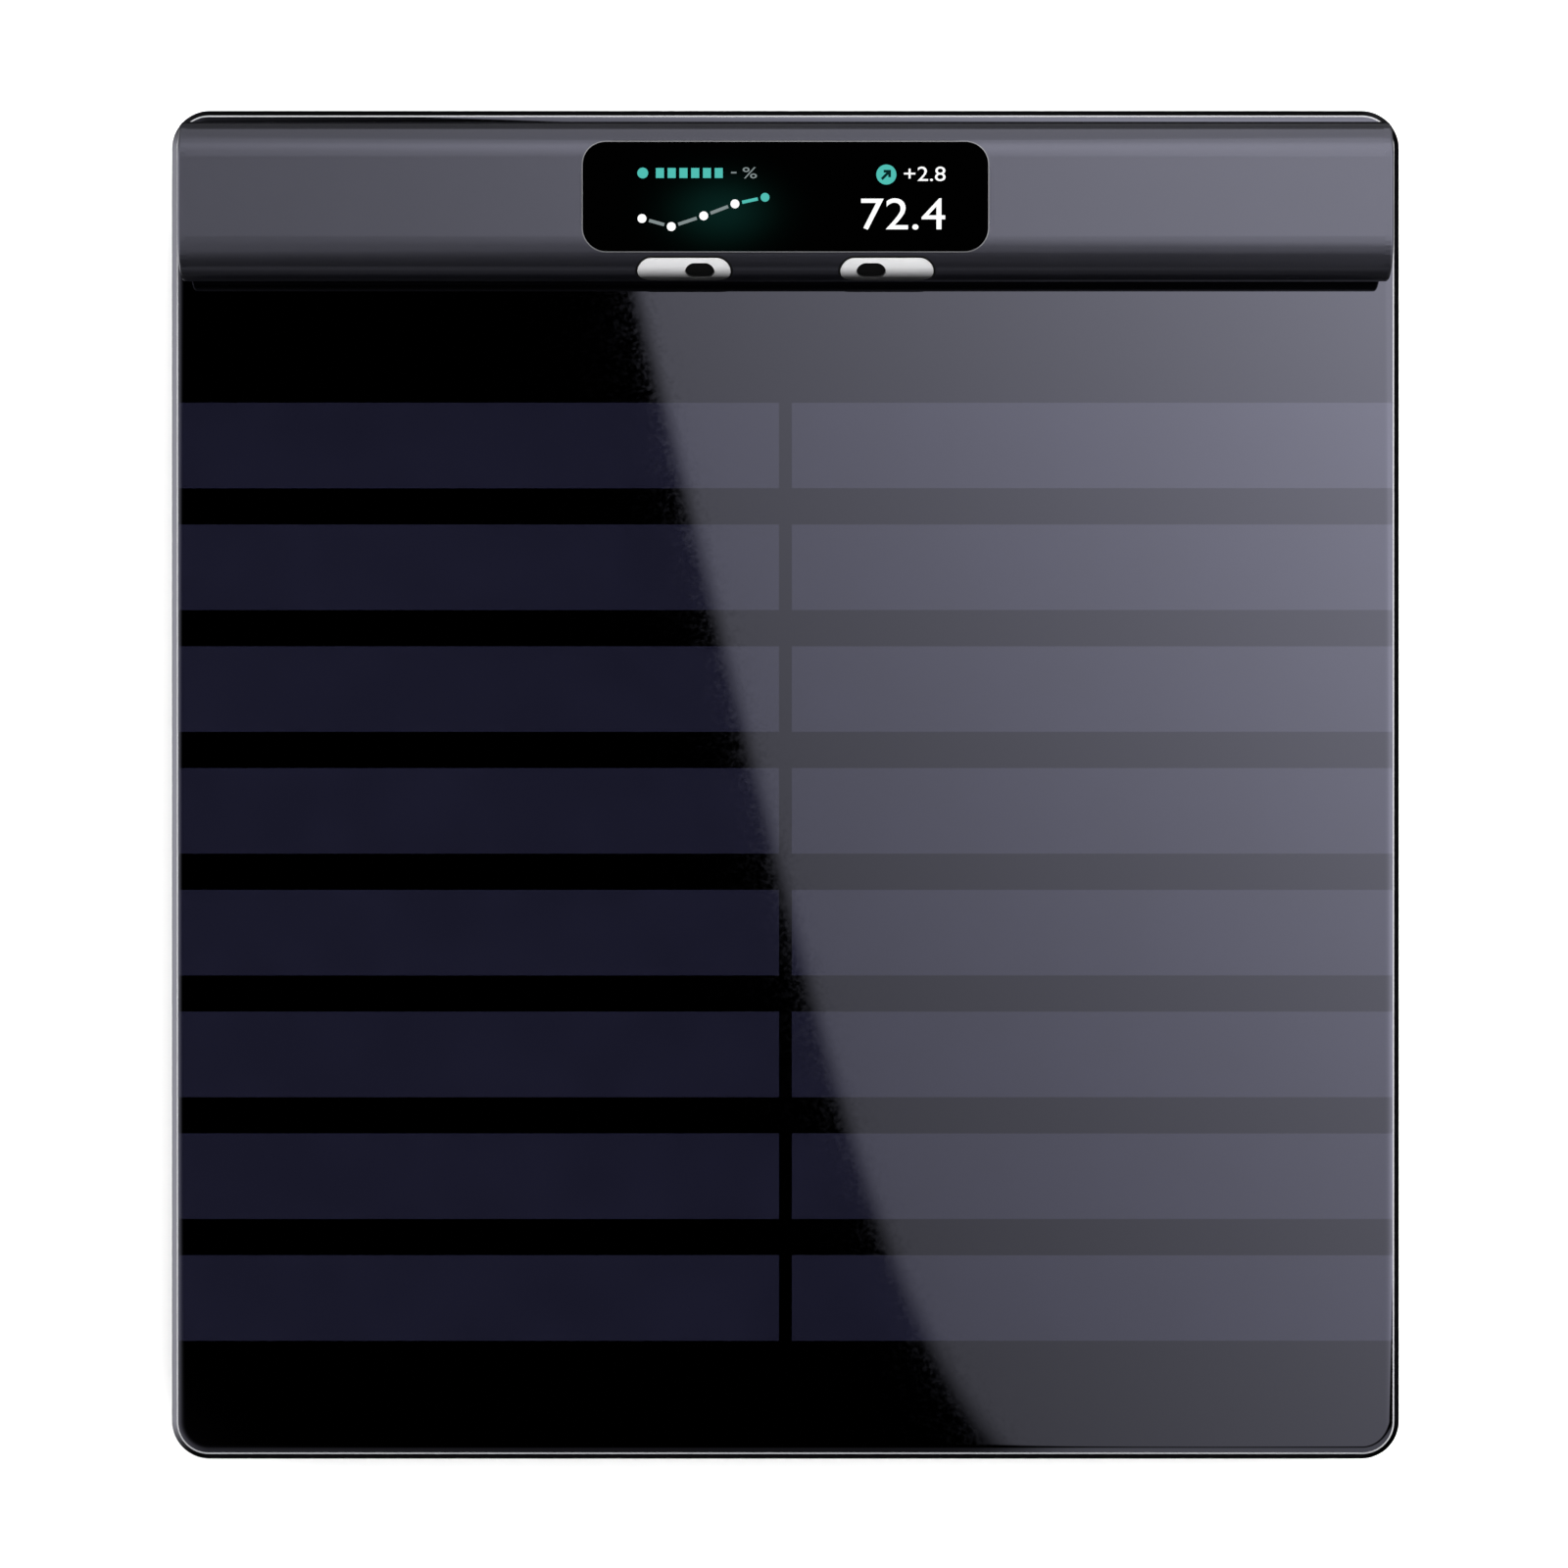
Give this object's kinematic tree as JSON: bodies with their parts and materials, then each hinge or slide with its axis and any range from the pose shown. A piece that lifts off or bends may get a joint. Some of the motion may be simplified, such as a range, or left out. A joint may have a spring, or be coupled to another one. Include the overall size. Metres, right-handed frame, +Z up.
{
  "type": "digital bathroom scale",
  "caption": "Glass bathroom scale with load-cell feet, film foot electrodes and a lift-off handle bar with a display, hand electrodes and push buttons.",
  "frame": {"origin": "on the floor under the middle of the platform", "axes": "+X to the right, +Y towards the handle, +Z up"},
  "size_m": [0.325, 0.357, 0.0436],
  "materials": {
    "glass_black": "toughened glass printed black underneath, polished bevelled edge",
    "electrode_film": "clear conductive film on black glass, faint grey-violet sheen",
    "tape": "closed-cell foam adhesive tape",
    "base_plastic": "fine spark-eroded texture, black",
    "screw_steel": "zinc plated, dark passivated",
    "cell_steel": "nickel plated spring steel",
    "gauge_foil": "copper alloy foil",
    "cup_plastic": "moulded, fine texture",
    "foot_rubber": "matt anti-slip rubber",
    "battery_wrap": "shrink wrap, plain blue",
    "circuit_board": "green solder mask",
    "chip": "moulded packages and a tinned can",
    "socket_steel": "drawn stainless shell",
    "reel_plastic": "moulded, satin",
    "drum_plastic": "self-lubricating natural plastic",
    "spring_steel": "blued spring strip",
    "trim_plastic": "satin black",
    "magnet": "nickel plated",
    "handle_plastic": "satin black, very fine grain",
    "lens_black": "smoked cover lens, anti-reflection coated",
    "screen": "lit segments and figures behind the lens",
    "electrode_steel": "stainless, brushed lengthwise",
    "gasket_rubber": "black, smooth",
    "button_plastic": "satin black",
    "pad_silicone": "translucent dark silicone"
  },
  "bodies": {
    "platform": {"glass_platform": "glass_black", "foot_electrode_films": "electrode_film", "bond_tape": "tape", "chassis_frame": "base_plastic", "bottom_cover": "base_plastic", "cover_screws": "screw_steel", "load_cell_fl": "cell_steel", "load_cell_fr": "cell_steel", "load_cell_bl": "cell_steel", "load_cell_br": "cell_steel", "strain_gauges": "gauge_foil", "load_cell_screws": "screw_steel", "foot_cup_fl": "cup_plastic", "foot_cup_fr": "cup_plastic", "foot_cup_bl": "cup_plastic", "foot_cup_br": "cup_plastic", "foot_pad_fl": "foot_rubber", "foot_pad_fr": "foot_rubber", "foot_pad_bl": "foot_rubber", "foot_pad_br": "foot_rubber", "battery_pack": "battery_wrap", "main_board": "circuit_board", "board_chips": "chip", "board_screws": "screw_steel", "charging_socket": "socket_steel", "reel_case": "reel_plastic", "reel_lid": "reel_plastic", "reel_screws": "screw_steel", "reel_spindle": "cell_steel", "slip_ring_board": "circuit_board", "cord_port": "trim_plastic", "dock_magnets": "magnet"},
    "reel": {"reel_drum": "drum_plastic", "reel_spring": "spring_steel", "slip_ring_brushes": "gauge_foil"},
    "handle": {"handle_top_shell": "handle_plastic", "handle_bottom_shell": "handle_plastic", "handle_cap_left": "handle_plastic", "handle_cap_right": "handle_plastic", "display_lens": "lens_black", "display_panel": "screen", "handle_board": "circuit_board", "handle_board_chips": "chip", "thumb_electrode_left": "electrode_steel", "thumb_electrode_right": "electrode_steel", "thumb_gasket_left": "gasket_rubber", "thumb_gasket_right": "gasket_rubber", "finger_electrode_left": "electrode_steel", "finger_electrode_right": "electrode_steel", "button_switches": "drum_plastic", "handle_screws": "screw_steel", "handle_magnets": "magnet", "rest_pads": "pad_silicone", "handle_gland": "trim_plastic"},
    "button_left": {"button_left": "button_plastic"},
    "button_right": {"button_right": "button_plastic"}
  },
  "joints": [
    {"name": "handle_lift", "type": "slide", "parent": "platform", "child": "handle", "axis": [0, 0, 1], "range_m": [0, 0.8]},
    {"name": "reel_spin", "type": "hinge", "parent": "platform", "child": "reel", "pos_m": [0, 0.104, 0.012], "axis": [0, 0, 1], "range_deg": [0, 2000], "stiffness_Nm_per_rad": 0.0004, "springref_deg": -3437.75},
    {"name": "button_left_press", "type": "slide", "parent": "handle", "child": "button_left", "axis": [0, 0.7547, -0.6561], "range_m": [0, 0.0008], "stiffness_N_per_m": 1500},
    {"name": "button_right_press", "type": "slide", "parent": "handle", "child": "button_right", "axis": [0, 0.7547, -0.6561], "range_m": [0, 0.0008], "stiffness_N_per_m": 1500}
  ],
  "couplings": [
    {"joint": "reel_spin", "follows": "handle_lift", "rad_per_m": 43.478}
  ]
}
